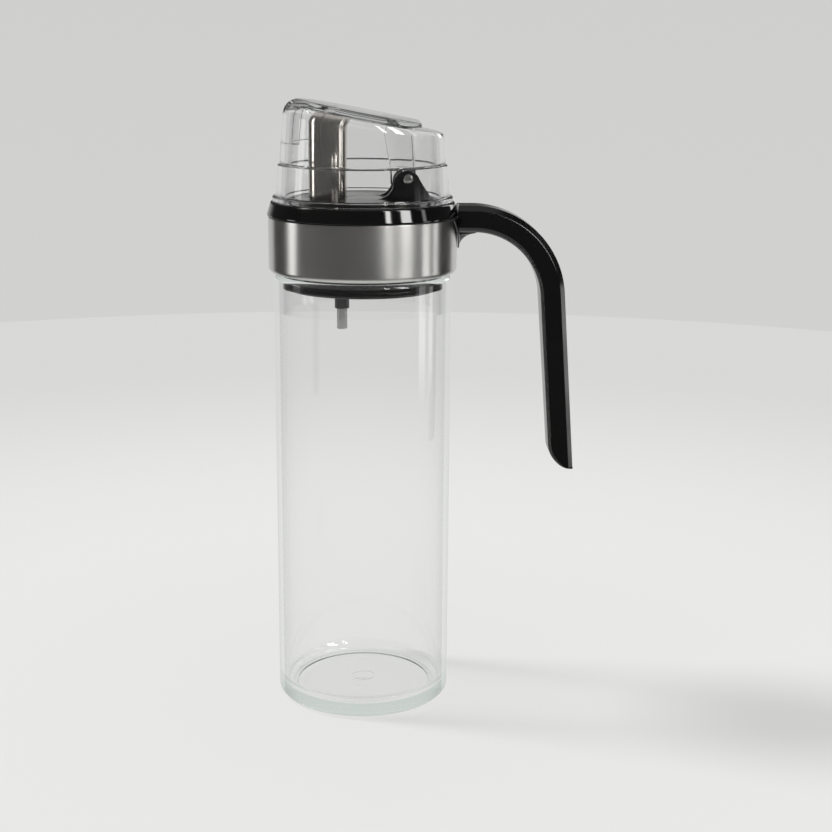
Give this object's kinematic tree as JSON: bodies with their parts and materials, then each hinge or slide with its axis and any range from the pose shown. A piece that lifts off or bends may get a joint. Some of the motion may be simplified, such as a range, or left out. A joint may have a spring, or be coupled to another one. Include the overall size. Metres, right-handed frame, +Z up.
{
  "type": "oil dispenser bottle",
  "caption": "Straight clear glass oil bottle with a steel-banded black cap, a side handle, a steel pouring tube and a clear lid whose slanted flap tips up on a pin.",
  "frame": {"origin": "centre of the glass's flat underside, on the bottle's axis", "axes": "+Z up along the bottle, +X towards the handle, +Y across"},
  "size_m": [0.1224, 0.0748, 0.2419],
  "materials": {
    "clear_glass": "clear polished glass, faintly grey-green in the thick floor",
    "clear_plastic": "clear moulded plastic, polished",
    "brushed_steel": "brushed round the part, satin",
    "polished_steel": "polished",
    "gloss_black_plastic": "high gloss",
    "satin_black_plastic": "satin",
    "black_silicone": "matte",
    "pale_silicone": "translucent, matte",
    "grey_plastic": "satin"
  },
  "bodies": {
    "base": {"glass_bottle": "clear_glass", "steel_band": "brushed_steel", "cap_collar": "gloss_black_plastic", "spout_deck": "satin_black_plastic", "bottle_gasket": "black_silicone", "pouring_tube": "brushed_steel", "vent_socket": "grey_plastic", "vent_pipe": "brushed_steel", "lid_shell": "clear_plastic", "hinge_pin": "polished_steel", "handle": "gloss_black_plastic"},
    "lid": {"lid_flap": "clear_plastic", "lid_seal": "pale_silicone"}
  },
  "joints": [
    {"name": "lid_flip", "type": "hinge", "parent": "base", "child": "lid", "pos_m": [0.0174, 0, 0.212], "axis": [0, 1, 0], "range_deg": [0, 18]}
  ]
}
